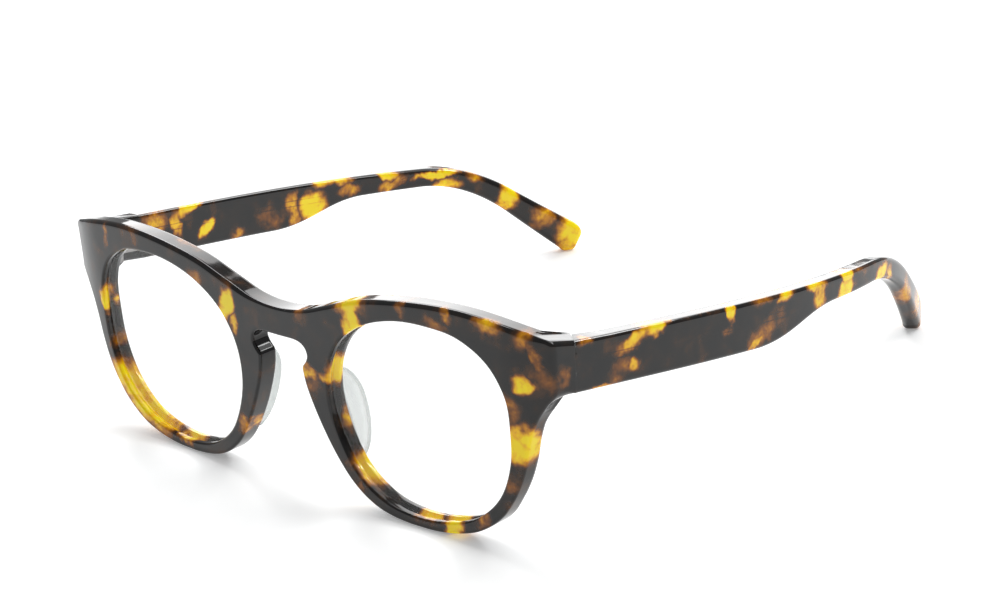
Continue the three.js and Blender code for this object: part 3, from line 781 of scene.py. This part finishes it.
def wire_shade(m, part):
    """1, with two thin darker lines where the core wire's edges show through a temple."""
    darkest, half_width = 0.72, 0.22
    fade_start, fade_end = 60, 75
    place = m.node("ShaderNodeSeparateXYZ")
    m.link(part, place.inputs["Vector"])
    y, z = place.outputs["Y"], place.outputs["Z"]
    top = m.math("MULTIPLY_ADD", y, -TEMPLE_SLOPE, TEMPLE_TOP + TEMPLE_SLOPE * JOINT_DEPTH)
    off = m.math("ABSOLUTE", m.math("ADD", m.math("SUBTRACT", z, top), WIRE_BELOW_TOP))
    off_edge = m.math("ABSOLUTE", m.math("SUBTRACT", off, WIRE_HALF_HEIGHT))
    line = m.remap(off_edge, 0.0, half_width, darkest, 1.0)
    faded = m.remap(y, fade_start, fade_end, 0.0, 1.0)
    return m.math("MAXIMUM", line, faded)


def tortoise(name, patches, turn_axis):
    """Polished tortoiseshell: near-black brown with translucent patches inside the acetate.
    The patches turn about the axis that faces out of the part: 1 (y) or 0 (x)."""
    m = Nodes(name)
    in_mm = m.vector("MULTIPLY", m.object, (MM_PER_M, MM_PER_M, MM_PER_M))
    part = m.vector("SUBTRACT", in_mm, (0, FRONT_Y, 0))

    def warp(scale, detail, reach):
        """An offset in mm that varies from place to place."""
        off = m.vector("SUBTRACT", m.noise(scale, detail, colour=True), (0.5, 0.5, 0.5))
        return m.vector("MULTIPLY", off, (reach, reach, reach))

    wide, fine = warp(190, 2, 4.5), warp(620, 1, 1.3)
    warped = m.vector("ADD", m.vector("ADD", part, wide), fine)
    patch_outside, patch_core = 1.65, 0.4  # in patch radii: no colour, and full colour
    field = None
    for centre, radii, turn, strength in patches:
        place = m.node("ShaderNodeMapping", vector_type="TEXTURE")
        m.link(warped, place.inputs["Vector"])
        place.inputs["Location"].default_value = centre
        rotation = place.inputs["Rotation"].default_value
        rotation[turn_axis] = math.radians(-turn if turn_axis == 1 else turn)
        place.inputs["Scale"].default_value = radii
        reach = m.vector("LENGTH", place.outputs["Vector"])
        glow = m.remap(reach, patch_outside, patch_core, 0.0, strength, "SMOOTHSTEP")
        field = glow if field is None else m.math("MAXIMUM", field, glow)
    # faint brown clouds everywhere, and uneven colour inside the patches
    drift = m.remap(m.noise(230, 3), 0.43, 0.75, 0.0, 0.28)
    cloud = m.remap(m.noise(480, 3, rough=0.55), NOISE_LOW, NOISE_HIGH, -0.34, 0.10)
    lit = m.math("MULTIPLY_ADD", field, m.math("ADD", cloud, 0.95), drift)
    if turn_axis == 0:
        lit = m.math("MULTIPLY", lit, wire_shade(m, part))
    colour = m.ramp(lit, [
        (0.00, (0.0032, 0.0028, 0.0028)),
        (0.12, (0.0100, 0.0055, 0.0032)),
        (0.25, (0.055, 0.020, 0.004)),
        (0.39, (0.21, 0.065, 0.003)),
        (0.54, (0.54, 0.205, 0.001)),
        (0.70, (0.88, 0.500, 0.000)),
        (0.92, (0.98, 0.730, 0.000)),
    ])
    rough = m.remap(m.noise(500, 2), NOISE_LOW, NOISE_HIGH, 0.035, 0.085)
    m.set(Base_Color=colour, Roughness=rough, IOR=1.46)
    m.set(Subsurface_Weight=m.remap(lit, 0.25, 0.8, 0.0, 0.5))
    m.shader.inputs["Subsurface Radius"].default_value = (1.0, 0.6, 0.15)
    m.shader.inputs["Subsurface Scale"].default_value = 0.0012
    m.bump(m.noise(140, 2), 0.08, 0.0006)
    return m.material


def clear_plastic(name, tint, alpha, rough, speck):
    """Clear plastic with a faint tint that drifts a little, and polishing marks. alpha holds
    its opacity seen straight on and along the surface; where it rises at the edges, a
    darker tint gives painted shade there."""
    m = Nodes(name)
    shade = m.noise(60, 2)
    darker = tuple(c * 0.97 for c in tint)
    m.set(Base_Color=m.ramp(shade, [(NOISE_LOW, tint), (NOISE_HIGH, darker)]))
    marks = m.remap(m.noise(400, 2), NOISE_LOW, NOISE_HIGH, rough, rough + speck)
    m.set(Roughness=marks, IOR=1.5)
    edge = m.node("ShaderNodeLayerWeight")
    edge.inputs["Blend"].default_value = 0.35
    m.set(Alpha=m.remap(edge.outputs["Facing"], 0.0, 1.0, alpha[0], alpha[1]))
    m.bump(m.noise(90, 2), 0.05, 0.0004)
    return m.material


def metal(name, tint, rough, stretch):
    """Satin metal with fine drawn lines, which the noise's stretch on each axis makes."""
    m = Nodes(name)
    lines = m.noise(1.0, 4, m.vector("MULTIPLY", m.object, stretch))
    darker = tuple(c * 0.85 for c in tint)
    m.set(Base_Color=m.ramp(lines, [(NOISE_LOW, darker), (NOISE_HIGH, tint)]))
    m.set(Metallic=1.0, Roughness=m.remap(lines, NOISE_LOW, NOISE_HIGH, rough, rough + 0.15))
    m.bump(lines, 0.15, 0.00005)
    return m.material


acetate_front = tortoise("tortoise_front", FRONT_PATCHES, 1)
acetate_left = tortoise("tortoise_left", LEFT_PATCHES, 0)
acetate_right = tortoise("tortoise_right", RIGHT_PATCHES, 0)
# the pads' grey-green tint shows mostly at their edges, where alpha rises: painted shade for the
# dark outline that refraction gives
clear_pad = clear_plastic("clear_pad", (0.58, 0.64, 0.62), (0.25, 1.0), 0.08, 0.05)
clear_lens = clear_plastic("clear_lens", (0.96, 0.98, 0.97), (0.01, 0.10), 0.02, 0.02)
nickel = metal("nickel_silver", (0.34, 0.33, 0.32), 0.3, (600, 6000, 600))
steel = metal("steel_screw", (0.78, 0.78, 0.78), 0.18, (4000, 4000, 400))
wire = metal("drawn_wire", (0.62, 0.62, 0.60), 0.28, (5000, 200, 5000))

# ------------------------------------------------------------------ pieces


def fit(obj, node, body, material):
    """Shows a visual piece instead of a CAD node, on the node's body."""
    obj.data.materials.append(material)
    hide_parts(node)
    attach(obj, body)


front = front_shell().piece("front_acetate", SHARP_FRONT)
fit(front, "front_frame", "front", acetate_front)
for side, mirror, material in (("left", False, acetate_left), ("right", True, acetate_right)):
    temple = temple_shell().piece(f"temple_acetate_{side}", SHARP_TEMPLE, mirror)
    fit(temple, f"temple_{side}", f"temple_arm_{side}", material)
    lens = lens_shell().piece(f"lens_{side}_shaped", SHARP_LENS, mirror)
    fit(lens, f"lens_{side}", "front", clear_lens)
    pad = pad_shell().piece(f"nose_pad_{side}_shaped", SHARP_PAD, mirror)
    fit(pad, f"nose_pad_{side}", "front", clear_pad)
    for node, made in (("hinge_front_leaf", nickel), ("hinge_temple_leaf", nickel),
                       ("hinge_screw", steel), ("core_wire", wire)):
        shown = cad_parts[f"{node}_{side}"]
        shown.data.materials.clear()
        shown.data.materials.append(made)

# ------------------------------------------------------------------ stage, lights and camera


FLOOR_SIZE, FLOOR_DROP = 12, 0.00005  # metres
AIM = (0, 0, 0.03)  # about the middle of the object, in metres


def stage_floor():
    """A pale floor just below the resting surface, with a little light of its own."""
    m = Nodes("pale_floor")
    paper = [(NOISE_LOW, (0.93, 0.94, 0.94)), (NOISE_HIGH, (0.95, 0.955, 0.955))]
    m.set(Base_Color=m.ramp(m.noise(3, 2), paper))
    m.set(Roughness=0.9, Emission_Strength=0.25)
    m.shader.inputs["Emission Color"].default_value = (1, 1, 1, 1)
    m.shader.inputs["Specular IOR Level"].default_value = 0.1
    bpy.ops.mesh.primitive_plane_add(size=FLOOR_SIZE, location=(0, 0, -FLOOR_DROP))
    floor = bpy.context.object
    floor.name = "floor"
    floor.data.materials.append(m.material)


def area_light(name, position, target, size, power):
    """A white panel that faces the target: metres and watts."""
    data = bpy.data.lights.new(name, "AREA")
    data.shape, data.size, data.size_y = "RECTANGLE", size[0], size[1]
    data.energy = power
    light = bpy.data.objects.new(name, data)
    light.location = position
    light.rotation_euler = (Vector(target) - Vector(position)).to_track_quat("-Z", "Y").to_euler()
    bpy.context.scene.collection.objects.link(light)


def photo_camera():
    """A long lens from the front and the wearer's left, a little above."""
    yaw, fall, roll = math.radians(46.34), math.radians(19.77), math.radians(-5.47)
    position = (0.38624, -0.37726, 0.21249)
    right = Vector((math.cos(yaw), math.sin(yaw), 0))
    level = math.cos(fall)
    ahead = Vector((-math.sin(yaw) * level, math.cos(yaw) * level, -math.sin(fall)))
    up = right.cross(ahead)
    side = right * math.cos(roll) + up * math.sin(roll)
    top = -right * math.sin(roll) + up * math.cos(roll)
    data = bpy.data.cameras.new("camera")
    data.lens, data.sensor_width, data.clip_start, data.clip_end = 94.92, 36, 0.01, 50
    camera = bpy.data.objects.new("camera", data)
    turn = Matrix((side, top, -ahead)).transposed().to_4x4()
    camera.matrix_world = Matrix.Translation(position) @ turn
    bpy.context.scene.collection.objects.link(camera)
    bpy.context.scene.camera = camera


stage_floor()
area_light("overhead", (0.30, 0.55, 1.05), (0, 0, 0), (1.1, 0.8), 5)
area_light("back_soft", (-0.703, 0.853, 0.546), AIM, (0.78, 0.9), 7.6)
area_light("left_strip", (-0.63, 0.286, 0.89), AIM, (0.14, 0.95), 4)
area_light("back_strip", (0.30, 0.85, 0.85), AIM, (0.9, 0.10), 3.5)
world = bpy.data.worlds.new("studio")
world.use_nodes = True
background = world.node_tree.nodes["Background"]
background.inputs["Color"].default_value = (0.97, 0.985, 1.0, 1)
background.inputs["Strength"].default_value = 0.35
bpy.context.scene.world = world
bpy.context.scene.view_settings.view_transform = "Standard"
photo_camera()
